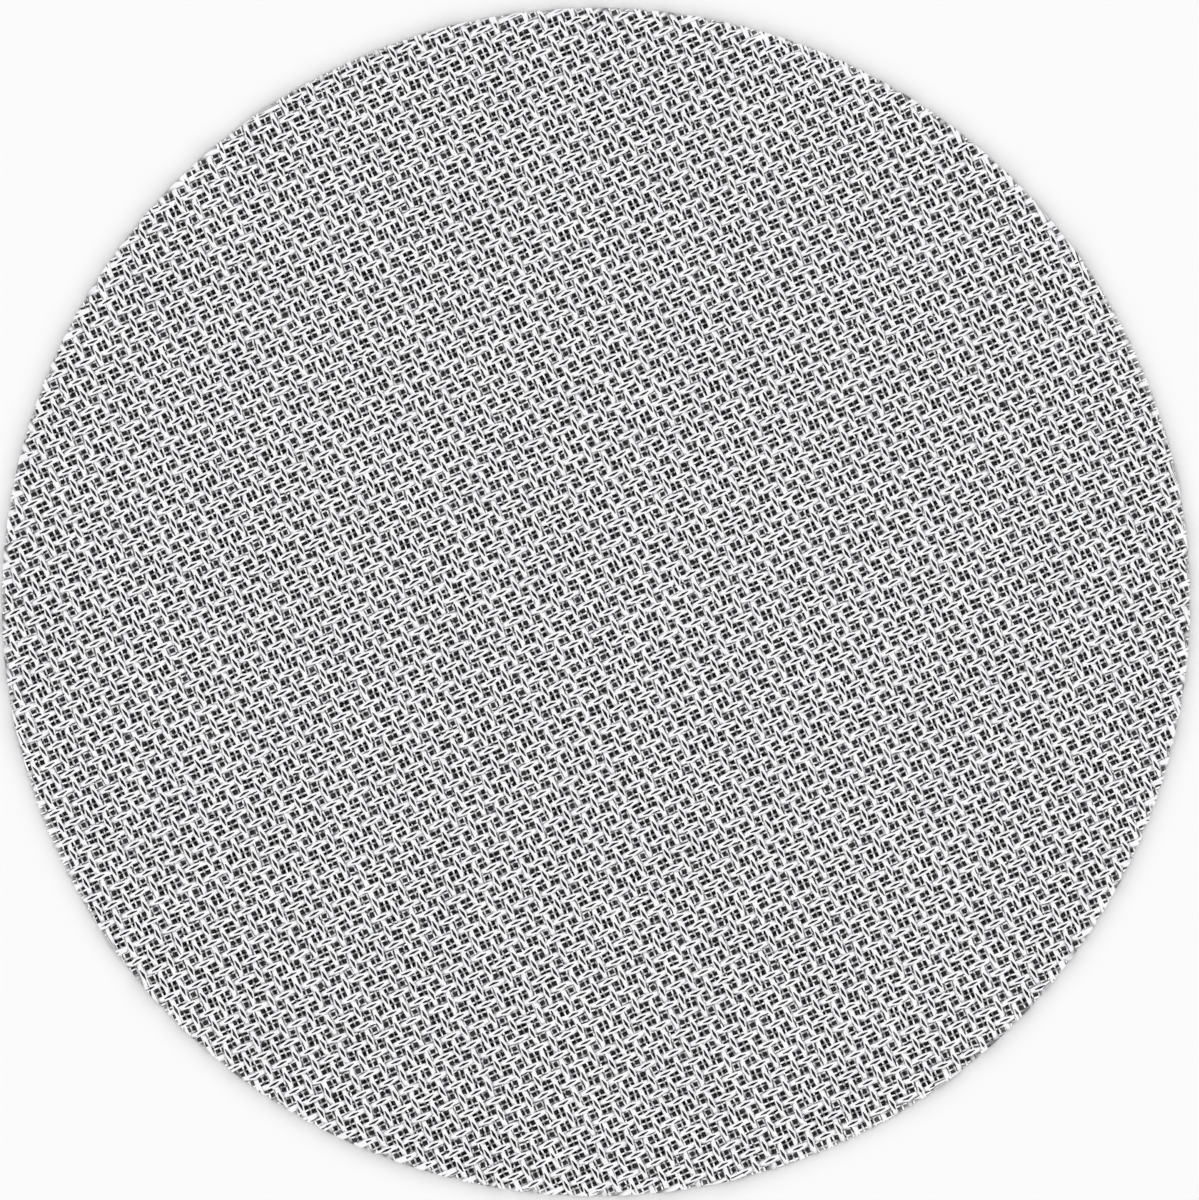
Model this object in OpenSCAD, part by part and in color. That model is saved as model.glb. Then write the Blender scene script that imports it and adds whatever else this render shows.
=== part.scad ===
// Filter disc of two wire cloths: a coarse square weave lies on a fine one, and both are punched to one circle.
// X runs along the coarse weft, Y along the coarse warp, and Z from the fine side up to the coarse side.
// The origin is the centre of the underside. Sizes are in millimetres and angles in degrees.

/* [Disc] */
// Diameter of the circle that both cloths are punched to
disc_d = 58.5; // [45:0.5:65]

/* [Coarse cloth] */
// Diameter of the coarse wire, across the corners of its pressed section
coarse_wire_d = 0.3; // [0.2:0.01:0.45]
// Spacing of the weft wires, from centre to centre
coarse_weft_pitch = 0.754; // [0.6:0.002:1.6]
// Spacing of the warp wires, from centre to centre
coarse_warp_pitch = 0.742; // [0.6:0.002:1.6]
// Distance of the middle weft wire from the centre of the disc
coarse_weft_offset = 0.08; // [-0.3:0.01:0.3]
// Distance of the middle warp wire from the centre of the disc
coarse_warp_offset = 0.37; // [-0.4:0.01:0.4]
// Angle by which the warp leans away from square to the weft
coarse_lean = -0.5; // [-5:0.1:5]

/* [Fine cloth] */
// Diameter of the fine wire
fine_wire_d = 0.125; // [0.09:0.005:0.18]
// Spacing of the fine wires that run with the coarse weft
fine_weft_pitch = 0.306; // [0.25:0.002:0.5]
// Spacing of the fine wires that run with the coarse warp
fine_warp_pitch = 0.311; // [0.25:0.002:0.5]
// Angle that the fine cloth is turned from the coarse weft
fine_turn = -0.6; // [-45:0.1:45]
// Thickness of the wall between the two sets of fine wires
wall_t = 0.05; // [0.03:0.01:0.08]
// Distance that the fine wires end inside the edge of their wall
edge_step = 0.02; // [0.01:0.01:0.1]

/* [Gaps] */
// Number of fine openings from one pierced opening to the next
gap_step = 16; // [15:1:40]
// Width left standing between a pierced opening and the wires around it
gap_margin = 0.015; // [0.005:0.005:0.02]
// Width of the border along the edge that has no pierced opening
gap_border = 1; // [0.5:0.1:5]

/* [Hidden] */

steel = [0.62, 0.62, 0.63];
shaded_steel = [0.5, 0.5, 0.51];

// A coarse wire is pressed to eight sides, with one of them up and one down
wire_sides = 8;
rim_sides = 192;

// How far a shape that cuts or is cut reaches past the disc
overrun = 1;
disc_r = disc_d / 2;
trim_span = disc_d + 2 * overrun;

// The fine cloth is two wires thick. Its wires are ridges on both faces of the wall, and each is rooted in the wall.
fine_t = 2 * fine_wire_d;
ridge_h = fine_wire_d - wall_t / 2;
ridge_root = wall_t / 3;

// Heights of the coarse wires' centres: the weft lies on the fine cloth, and the warp on the weft
coarse_wire_h = coarse_wire_d * cos(180 / wire_sides);
weft_z = fine_t + coarse_wire_h / 2;
warp_z = weft_z + coarse_wire_h;
disc_t = fine_t + 2 * coarse_wire_h;

// Parallel wires along X, cut off by a circle. The child is one wire's section, in Y and height.
module wire_row(pitch, offset, width, radius) {
    count = ceil(radius / pitch);
    intersection() {
        cylinder(r = radius, h = disc_t + overrun, $fn = rim_sides);
        rotate([90, 0, 90]) linear_extrude(trim_span, center = true)
            for (y = [for (i = [-count:count]) i * pitch + offset])
                if (abs(y) < radius - width)
                    translate([y, 0]) children();
    }
}

// One set of fine wires as ridges that stand on the underside of the wall
module ridge_row(pitch) {
    wire_row(pitch, 0, fine_wire_d, disc_r - edge_step)
        translate([-fine_wire_d / 2, 0]) square([fine_wire_d, ridge_h + ridge_root]);
}

// One set of coarse wires, with their centres at a height
module coarse_row(pitch, offset, height) {
    wire_row(pitch, offset, coarse_wire_d, disc_r)
        translate([0, height]) rotate(180 / wire_sides) circle(d = coarse_wire_d, $fn = wire_sides);
}

// Pierced openings of the fine cloth, each between two wires of either set
module gaps() {
    gap_x = fine_warp_pitch - fine_wire_d - 2 * gap_margin;
    gap_y = fine_weft_pitch - fine_wire_d - 2 * gap_margin;
    reach_x = ceil(disc_r / (gap_step * fine_warp_pitch));
    reach_y = ceil(disc_r / (gap_step * fine_weft_pitch));
    for (i = [-reach_x:reach_x], j = [-reach_y:reach_y]) {
        x = (i * gap_step + 0.5) * fine_warp_pitch;
        y = (j * gap_step + 0.5) * fine_weft_pitch;
        if (norm([x, y]) < disc_r - gap_border)
            translate([x, y, fine_t / 2]) cube([gap_x, gap_y, fine_t], center = true);
    }
}

// Fine cloth as one wall, with the ridges of one set of wires below and of the other set above
module fine_mesh() {
    color(shaded_steel) rotate([0, 0, fine_turn]) difference() {
        union() {
            translate([0, 0, ridge_h]) cylinder(r = disc_r, h = wall_t, $fn = rim_sides);
            ridge_row(fine_weft_pitch);
            translate([0, 0, fine_t]) rotate([180, 0, 90]) ridge_row(fine_warp_pitch);
        }
        gaps();
    }
}

// Coarse wires that lie on the fine cloth, across its upper ridges
module coarse_weft() {
    color(steel) coarse_row(coarse_weft_pitch, coarse_weft_offset, weft_z);
}

// Coarse wires that lie across the weft
module coarse_warp() {
    color(steel) rotate([0, 0, coarse_lean - 90]) coarse_row(coarse_warp_pitch, coarse_warp_offset, warp_z);
}

fine_mesh();
coarse_weft();
coarse_warp();
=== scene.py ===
import math

import bpy
import numpy as np
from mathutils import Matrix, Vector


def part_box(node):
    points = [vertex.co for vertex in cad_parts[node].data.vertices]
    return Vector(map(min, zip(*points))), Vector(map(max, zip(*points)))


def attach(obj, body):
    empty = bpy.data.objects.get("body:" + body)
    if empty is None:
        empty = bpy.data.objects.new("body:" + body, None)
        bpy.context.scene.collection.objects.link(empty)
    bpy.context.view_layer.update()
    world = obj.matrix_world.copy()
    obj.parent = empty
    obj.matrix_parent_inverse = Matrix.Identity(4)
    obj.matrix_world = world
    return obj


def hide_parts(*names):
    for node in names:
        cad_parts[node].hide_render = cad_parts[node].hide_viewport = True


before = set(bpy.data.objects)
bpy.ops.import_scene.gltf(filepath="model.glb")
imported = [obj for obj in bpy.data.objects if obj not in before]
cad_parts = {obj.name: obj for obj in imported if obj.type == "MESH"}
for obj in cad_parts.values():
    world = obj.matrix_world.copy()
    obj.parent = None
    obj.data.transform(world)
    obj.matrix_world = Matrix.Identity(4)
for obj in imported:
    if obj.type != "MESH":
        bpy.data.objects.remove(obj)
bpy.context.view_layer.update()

# A filter disc of two steel wire cloths lies flat on a pale floor and is seen from straight above.
# X runs along the coarse weft, Y along the coarse warp, and lengths are in metres.
MM = 0.001
QUARTER_TURN = math.pi / 2

# Levels and radii come from the frame: each cloth is two wires thick.
fine_low, fine_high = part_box("fine_mesh")
weft_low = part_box("coarse_weft")[0]
warp_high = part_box("coarse_warp")[1]
DISC_R = fine_high.x
FINE_R = (fine_high.z - fine_low.z) / 4
COARSE_HALF_HEIGHT = (warp_high.z - weft_low.z) / 4
FINE_MIDDLE = (fine_low.z + fine_high.z) / 2
COARSE_MIDDLE = (weft_low.z + warp_high.z) / 2

# Coarse wire's radius, and spacings and angles of the wires, as the part has them
COARSE_R = 0.15 * MM
COARSE_WEFT_PITCH = 0.754 * MM
COARSE_WARP_PITCH = 0.742 * MM
COARSE_WEFT_OFFSET = 0.08 * MM
COARSE_WARP_OFFSET = 0.37 * MM
COARSE_LEAN = math.radians(-0.5)
FINE_WEFT_PITCH = 0.306 * MM
FINE_WARP_PITCH = 0.311 * MM
FINE_TURN = math.radians(-0.6)

# Section of the coarse wire at the crest of a knuckle, where it turns down and where it passes under
# a crossing: half widths of the wire and of its flats, and half heights of its shoulders
TURN_HALF_WIDTH = 0.125 * MM
UNDER_HALF_WIDTH = 0.118 * MM
WEFT_FLAT = 0.06 * MM
WARP_FLAT = 0.075 * MM
TURN_FLAT = 0.022 * MM
CREST_SHOULDER = 0.112 * MM
TURN_SHOULDER = 0.105 * MM

# Share of the spacing that a pressed knuckle reaches to either side of its crossing
FLAT_REACH = 0.37

# Sideways shift of a knuckle's flat at either end, by which the flats lie a little aslant
WEFT_SLANT = 0.015 * MM
WARP_SLANT = -0.04 * MM

# Share of its width over which the fine wire is level at top and bottom
FINE_TOP_SHARE = 0.62

# The top of a section is its last side, from the last corner back to the first.
TOP_SIDE = -1

# Angle between two sides of a wire above which their edge is sharp
SHARP_EDGE = math.radians(50)

# Share of the spacing that the last ring of a wire stays clear of the rim
END_SPARE = 0.05

# Whether a wire passes over a crossing or under it
UP = 1
DOWN = -1

# Unevenness of the weave: how far wires stand off their even spacing, how far warp wires draw together in
# pairs, and how far a wire strays sideways or sinks at a crossing. The limit is in times the stray.
WEFT_JITTER = 0.008 * MM
WARP_JITTER = 0.02 * MM
FINE_JITTER = 0.006 * MM
WARP_PAIRING = 0.012 * MM
COARSE_STRAY = 0.016 * MM
COARSE_SINK = 0.006 * MM
FINE_STRAY = 0.018 * MM
FINE_SINK = 0.015 * MM
STRAY_LIMIT = 2
SEED = 7

# Steel of the wires: tones, and roughness where it is smooth and where it is worn
COARSE_DARK = (0.58, 0.58, 0.59)
COARSE_LIGHT = (0.73, 0.73, 0.74)
COARSE_ROUGHNESS = (0.08, 0.15)
# The fine steel's tones vary at random and are also set lighter than the coarse steel's: painted light
# for the light that the coarse cloth keeps off the fine cloth.
FINE_DARK_WITH_PAINTED_LIGHT = (0.7, 0.7, 0.71)
FINE_LIGHT_WITH_PAINTED_LIGHT = (0.9, 0.9, 0.91)
FINE_ROUGHNESS = (0.22, 0.35)

# Patches of tone and wear on the steel and faint marks of drawing: their number to the metre, fineness,
# range or strength, and depth
PATCH_SCALE = 900
PATCH_DETAIL = 3
PATCH_RANGE = (0.3, 0.7)
MARK_SCALE = 9000
MARK_DETAIL = 2
MARK_STRENGTH = 0.25
MARK_DEPTH = 0.004 * MM

# Light: a bright tent all round that is dark at the top, where the camera looks in, and dimmer near the
# floor. Shares are of the tent's level, and angles are from straight up.
TENT_LEVEL = 1.45
OPENING_SHARE = 0.01
OPENING_INNER = math.radians(8)
OPENING_OUTER = math.radians(12)
FOOT_SHARE = 0.2
FOOT_INNER = math.radians(45)
FOOT_OUTER = math.radians(72)

# Floor: pale in the open, with painted shade in its colour where the cloth covers it closely. Full shade
# and none are shares of the view upward that is open within the painted shade's reach.
FLOOR_HALF_SIZE = 2.0
FLOOR_LEVEL = -0.01 * MM
FLOOR_PALE = 0.88
FLOOR_PAINTED_SHADE = 0.02
FLOOR_ROUGHNESS = 0.9
FLOOR_SHINE = 0.1
PAINTED_SHADE_REACH = 0.6 * MM
PAINTED_SHADE_FULL = 0.25
PAINTED_SHADE_NONE = 0.55
PAINTED_SHADE_SAMPLES = 4

# Camera: straight above, turned so that the weft rises to the right. The disc's size and place in the
# frame are in pixels, and the clip distances are shares of the camera's distance.
LENS_MM = 400
SENSOR_MM = 36
FRAME_LONG_SIDE = 1200
DISC_ACROSS = 1188
CAMERA_TURN = math.radians(-24.5)
CENTRE_LEFT = 3.5
CENTRE_DOWN = 2.0
CLIP_NEAR = 0.1
CLIP_FAR = 10

randoms = np.random.default_rng(SEED)


class WireSet:
    """Parallel wires of one cloth: their direction, spacing, unevenness and place in the weave."""

    def __init__(self, angle, pitch, offset, first_side, jitter, pairing=0.0):
        self.along = np.array([math.cos(angle), math.sin(angle)])
        self.across = np.array([-math.sin(angle), math.cos(angle)])
        self.pitch = pitch
        self.offset = offset
        self.first_side = first_side
        reach = int(DISC_R / pitch) + 1
        self.numbers = np.arange(-reach, reach + 1)
        shifts = randoms.normal(0, jitter, len(self.numbers))
        shifts += pairing * np.where(self.numbers % 2, 1, -1)
        self.places = self.numbers * pitch + offset + shifts


class Profile:
    """How a wire runs over a crossing: rings at shares of the spacing, with their rise and their section.

    Under a crossing it has only one ring, with a section of its own, as far down as the wire rises above.
    A wire that bends sharply is flat on top from each crossing to the next.
    """

    def __init__(self, middle, half_width, shares, rises, sections, under, bends_sharply, stray, sink):
        self.middle = middle
        self.half_width = half_width
        self.shares = np.array(shares)
        self.rises = np.array(rises)
        self.sections = np.array(sections)
        self.under = np.array(under)
        self.bends_sharply = bends_sharply
        self.stray = stray
        self.sink = sink


def pressed_section(flat, shoulder, half_width, half_height, shift=0.0):
    """Eight corners of a wire with flats, as (across, up), from the top round by the right."""
    right = shift + flat
    left = shift - flat
    return [(right, half_height), (half_width, shoulder),
            (half_width, -shoulder), (right, -half_height),
            (left, -half_height), (-half_width, -shoulder),
            (-half_width, shoulder), (left, half_height)]


def coarse_profile(flat, slant):
    """Course of a coarse wire: pressed level and widest over a crossing, and narrowest under one."""
    crest = pressed_section(flat, CREST_SHOULDER, COARSE_R, COARSE_HALF_HEIGHT)
    under = pressed_section(flat, CREST_SHOULDER, UNDER_HALF_WIDTH, COARSE_HALF_HEIGHT)
    turns = [pressed_section(TURN_FLAT, TURN_SHOULDER, TURN_HALF_WIDTH, COARSE_R, shift)
             for shift in (-slant, slant)]
    top = 2 * COARSE_HALF_HEIGHT
    crest_rise = top - COARSE_HALF_HEIGHT
    turn_rise = top - COARSE_R
    return Profile(COARSE_MIDDLE, COARSE_R,
                   shares=(-FLAT_REACH, 0, FLAT_REACH),
                   rises=(turn_rise, crest_rise, turn_rise),
                   sections=(turns[0], crest, turns[1]),
                   under=under,
                   bends_sharply=False,
                   stray=COARSE_STRAY,
                   sink=COARSE_SINK)


def fine_profile():
    """Course of a fine wire: six-sided, and bent sharply at each crossing."""
    top = FINE_TOP_SHARE * FINE_R
    section = [(top, FINE_R), (FINE_R, 0), (top, -FINE_R), (-top, -FINE_R), (-FINE_R, 0), (-top, FINE_R)]
    return Profile(FINE_MIDDLE, FINE_R,
                   shares=(0,),
                   rises=(FINE_R,),
                   sections=(section,),
                   under=section,
                   bends_sharply=True,
                   stray=FINE_STRAY,
                   sink=FINE_SINK)


def half_chord(place):
    """Half the length of a straight line across the disc at a distance from its centre."""
    return np.sqrt(DISC_R ** 2 - place ** 2)


def wire_rings(wires, crossing, number, place, profile):
    """Rings of one crimped wire that ends on the rim, and for each stretch whether its top is flat."""
    stray_limit = STRAY_LIMIT * profile.stray
    end = half_chord(place)
    clear_end = half_chord(abs(place) + profile.half_width + stray_limit)

    # Crossings that the wire meets, counted along it, and how it passes each of them
    start = (crossing.across @ wires.across * place - crossing.offset) / crossing.pitch
    rate = (crossing.across @ wires.along) / crossing.pitch
    first, last = sorted((start - end * rate, start + end * rate))
    knuckles = np.arange(math.floor(first) - 1, math.ceil(last) + 2)
    sides = wires.first_side * np.where((knuckles + number) % 2, DOWN, UP)

    # Rings at these crossings, in their order along the wire
    used = (sides[:, None] == UP) | (profile.shares == 0)
    owners, kinds = np.nonzero(used)
    travel = (knuckles[owners] + profile.shares[kinds] - start) / rate
    order = np.argsort(travel)
    travel = travel[order]
    owners = owners[order]
    kinds = kinds[order]
    sinks = np.abs(randoms.normal(0, profile.sink, len(owners)))
    heights = profile.middle + sides[owners] * (profile.rises[kinds] - sinks)
    sections = np.where(sides[owners, None, None] == UP, profile.sections[kinds], profile.under)
    strays = np.clip(randoms.normal(0, profile.stray, len(owners)), -stray_limit, stray_limit)

    # Rings that lie clear of the rim, and one at either end with the crest's section
    kept = np.abs(travel) < clear_end - END_SPARE * crossing.pitch
    end_heights = np.interp([-end, end], travel, heights)
    end_section = profile.sections[profile.shares == 0]
    travel = np.concatenate([[-end], travel[kept], [end]])
    heights = np.concatenate([end_heights[:1], heights[kept], end_heights[1:]])
    sections = np.concatenate([end_section, sections[kept], end_section])
    strays = np.concatenate([[0], strays[kept], [0]])
    on_one_knuckle = np.diff(owners[kept]) == 0
    flat_tops = np.concatenate([[False], profile.bends_sharply | on_one_knuckle, [False]])

    # Corners of the rings, those of both ends on the rim itself
    across = place + sections[:, :, 0] + strays[:, None]
    travel = np.repeat(travel[:, None], across.shape[1], axis=1)
    travel[0] = -half_chord(across[0])
    travel[-1] = half_chord(across[-1])
    plan = travel[..., None] * wires.along + across[..., None] * wires.across
    level = heights[:, None] + sections[:, :, 1]
    return np.concatenate([plan, level[..., None]], axis=2), flat_tops


def wire_mesh(name, tubes):
    """One mesh of closed tubes, each given as its rings and its flat stretches."""
    points = []
    corners = []
    sizes = []
    smooth = []
    first = 0
    for rings, flat_tops in tubes:
        count, sides = rings.shape[:2]
        around = np.arange(sides)
        following = (around + 1) % sides
        starts = first + sides * np.arange(count - 1)[:, None]
        quads = np.stack([starts + around, starts + sides + around,
                          starts + sides + following, starts + following], axis=2)
        round_faces = np.ones(quads.shape[:2], bool)
        round_faces[flat_tops, TOP_SIDE] = False
        last = first + sides * (count - 1)
        points.append(rings.reshape(-1, 3))
        corners += [quads.ravel(), first + around, last + around[::-1]]
        sizes += [np.full(round_faces.size, quads.shape[2]), [sides, sides]]
        smooth += [round_faces.ravel(), [False, False]]
        first += sides * count
    points = np.concatenate(points)
    corners = np.concatenate(corners)
    sizes = np.concatenate(sizes)
    mesh = bpy.data.meshes.new(name)
    mesh.vertices.add(len(points))
    mesh.vertices.foreach_set("co", points.astype(np.float32).ravel())
    mesh.loops.add(len(corners))
    mesh.loops.foreach_set("vertex_index", corners.astype(np.int32))
    mesh.polygons.add(len(sizes))
    mesh.polygons.foreach_set("loop_start", (np.cumsum(sizes) - sizes).astype(np.int32))
    mesh.polygons.foreach_set("use_smooth", np.concatenate(smooth).astype(bool))
    mesh.update(calc_edges=True)
    mesh.validate()
    return mesh


def add_wires(node, material, label, wires, crossing, profile):
    """Makes one set of wires as two pieces that stand for a node of the frame."""
    tubes = [wire_rings(wires, crossing, number, place, profile)
             for number, place in zip(wires.numbers, wires.places)
             if abs(place) < DISC_R - 2 * profile.half_width]
    half = len(tubes) // 2
    for part, group in (("first", tubes[:half]), ("second", tubes[half:])):
        name = f"{label}_{part}_half"
        piece = bpy.data.objects.new(name, wire_mesh(name, group))
        bpy.context.scene.collection.objects.link(piece)
        piece.data.materials.append(material)
        edges = piece.modifiers.new("sharp edges", "EDGE_SPLIT")
        edges.split_angle = SHARP_EDGE
        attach(piece, "root")
        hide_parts(node)


def add_noise(nodes, scale, detail):
    """A node of cloudy noise."""
    noise = nodes.new("ShaderNodeTexNoise")
    noise.inputs["Scale"].default_value = scale
    noise.inputs["Detail"].default_value = detail
    return noise


def add_range(nodes, source, target, interpolation="LINEAR"):
    """A node that carries values from one range over to another, both given as (low, high)."""
    mapping = nodes.new("ShaderNodeMapRange")
    mapping.interpolation_type = interpolation
    for socket, value in zip(("From Min", "From Max", "To Min", "To Max"), (*source, *target)):
        mapping.inputs[socket].default_value = value
    return mapping


def steel(name, dark, light, roughness):
    """Drawn steel wire: a metal whose tone and polish vary a little, with faint marks of drawing."""
    material = bpy.data.materials.new(name)
    material.use_nodes = True
    nodes = material.node_tree.nodes
    links = material.node_tree.links
    shader = nodes["Principled BSDF"]
    shader.inputs["Metallic"].default_value = 1.0
    place = nodes.new("ShaderNodeTexCoord")
    patches = add_noise(nodes, PATCH_SCALE, PATCH_DETAIL)
    tone = nodes.new("ShaderNodeMix")
    tone.data_type = "RGBA"
    tone.inputs["A"].default_value = (*dark, 1)
    tone.inputs["B"].default_value = (*light, 1)
    wear = add_range(nodes, PATCH_RANGE, roughness)
    marks = add_noise(nodes, MARK_SCALE, MARK_DETAIL)
    relief = nodes.new("ShaderNodeBump")
    relief.inputs["Strength"].default_value = MARK_STRENGTH
    relief.inputs["Distance"].default_value = MARK_DEPTH
    links.new(place.outputs["Object"], patches.inputs["Vector"])
    links.new(place.outputs["Object"], marks.inputs["Vector"])
    links.new(patches.outputs["Fac"], tone.inputs["Factor"])
    links.new(tone.outputs["Result"], shader.inputs["Base Color"])
    links.new(patches.outputs["Fac"], wear.inputs["Value"])
    links.new(wear.outputs["Result"], shader.inputs["Roughness"])
    links.new(marks.outputs["Fac"], relief.inputs["Height"])
    links.new(relief.outputs["Normal"], shader.inputs["Normal"])
    return material


def pale_paper_with_painted_shade():
    """Matt white paper with painted shade: its colour goes dark where something covers it closely."""
    material = bpy.data.materials.new("pale paper with painted shade")
    material.use_nodes = True
    nodes = material.node_tree.nodes
    links = material.node_tree.links
    shader = nodes["Principled BSDF"]
    shader.inputs["Roughness"].default_value = FLOOR_ROUGHNESS
    shader.inputs["Specular IOR Level"].default_value = FLOOR_SHINE
    # Painted shade: the floor's colour goes dark where the cloth above it shuts out the view upward.
    painted_shade_cover = nodes.new("ShaderNodeAmbientOcclusion")
    painted_shade_cover.samples = PAINTED_SHADE_SAMPLES
    painted_shade_cover.inputs["Distance"].default_value = PAINTED_SHADE_REACH
    shade = add_range(nodes, (PAINTED_SHADE_FULL, PAINTED_SHADE_NONE), (FLOOR_PAINTED_SHADE, FLOOR_PALE))
    links.new(painted_shade_cover.outputs["AO"], shade.inputs["Value"])
    links.new(shade.outputs["Result"], shader.inputs["Base Color"])
    return material


def add_floor():
    """A pale floor under the disc, with painted shade in its colour where the cloth covers it."""
    half = FLOOR_HALF_SIZE
    corners = [(-half, -half), (half, -half), (half, half), (-half, half)]
    mesh = bpy.data.meshes.new("floor")
    mesh.from_pydata([(x, y, FLOOR_LEVEL) for x, y in corners], [], [(0, 1, 2, 3)])
    mesh.materials.append(pale_paper_with_painted_shade())
    floor = bpy.data.objects.new("floor", mesh)
    bpy.context.scene.collection.objects.link(floor)


def add_light():
    """Soft light from all round: a pale tent that is dark at its top and dimmer at its foot."""
    world = bpy.data.worlds.new("light tent")
    bpy.context.scene.world = world
    world.use_nodes = True
    nodes = world.node_tree.nodes
    links = world.node_tree.links
    background = nodes["Background"]
    background.inputs["Color"].default_value = (1, 1, 1, 1)
    place = nodes.new("ShaderNodeTexCoord")
    parts = nodes.new("ShaderNodeSeparateXYZ")
    opening = add_range(nodes, (math.cos(OPENING_OUTER), math.cos(OPENING_INNER)),
                        (TENT_LEVEL, TENT_LEVEL * OPENING_SHARE), "SMOOTHSTEP")
    foot = add_range(nodes, (math.cos(FOOT_OUTER), math.cos(FOOT_INNER)), (FOOT_SHARE, 1), "SMOOTHSTEP")
    level = nodes.new("ShaderNodeMath")
    level.operation = "MULTIPLY"
    links.new(place.outputs["Generated"], parts.inputs["Vector"])
    links.new(parts.outputs["Z"], opening.inputs["Value"])
    links.new(parts.outputs["Z"], foot.inputs["Value"])
    links.new(opening.outputs["Result"], level.inputs[0])
    links.new(foot.outputs["Result"], level.inputs[1])
    links.new(level.outputs["Value"], background.inputs["Strength"])


def add_camera():
    """A long lens straight above the disc, with the disc filling the frame as in the photograph."""
    data = bpy.data.cameras.new("camera")
    data.lens = LENS_MM
    data.sensor_width = SENSOR_MM
    pixel = 2 * DISC_R / DISC_ACROSS
    distance = pixel * FRAME_LONG_SIDE * LENS_MM / SENSOR_MM
    right = np.array([math.cos(CAMERA_TURN), math.sin(CAMERA_TURN)])
    up = np.array([-math.sin(CAMERA_TURN), math.cos(CAMERA_TURN)])
    place = (CENTRE_LEFT * right + CENTRE_DOWN * up) * pixel
    data.clip_start = CLIP_NEAR * distance
    data.clip_end = CLIP_FAR * distance
    camera = bpy.data.objects.new("camera", data)
    camera.location = (place[0], place[1], COARSE_MIDDLE + distance)
    camera.rotation_euler = (0, 0, CAMERA_TURN)
    bpy.context.scene.collection.objects.link(camera)
    bpy.context.scene.camera = camera


coarse_steel = steel("coarse steel wire", COARSE_DARK, COARSE_LIGHT, COARSE_ROUGHNESS)
# Fine steel: its lighter tones are painted light for the light that the coarse cloth keeps off it.
fine_steel_with_painted_light = steel("fine steel wire with painted light", FINE_DARK_WITH_PAINTED_LIGHT, FINE_LIGHT_WITH_PAINTED_LIGHT, FINE_ROUGHNESS)

coarse_weft = WireSet(0, COARSE_WEFT_PITCH, COARSE_WEFT_OFFSET, DOWN, WEFT_JITTER)
coarse_warp = WireSet(COARSE_LEAN - QUARTER_TURN, COARSE_WARP_PITCH, COARSE_WARP_OFFSET, UP, WARP_JITTER,
                      WARP_PAIRING)
fine_weft = WireSet(FINE_TURN, FINE_WEFT_PITCH, 0, DOWN, FINE_JITTER)
fine_warp = WireSet(FINE_TURN - QUARTER_TURN, FINE_WARP_PITCH, 0, UP, FINE_JITTER)

add_wires("coarse_weft", coarse_steel, "coarse_weft_wires", coarse_weft, coarse_warp,
          coarse_profile(WEFT_FLAT, WEFT_SLANT))
add_wires("coarse_warp", coarse_steel, "coarse_warp_wires", coarse_warp, coarse_weft,
          coarse_profile(WARP_FLAT, WARP_SLANT))
add_wires("fine_mesh", fine_steel_with_painted_light, "fine_weft_wires", fine_weft, fine_warp, fine_profile())
add_wires("fine_mesh", fine_steel_with_painted_light, "fine_warp_wires", fine_warp, fine_weft, fine_profile())

add_floor()
add_light()
add_camera()
bpy.context.scene.view_settings.view_transform = "Standard"
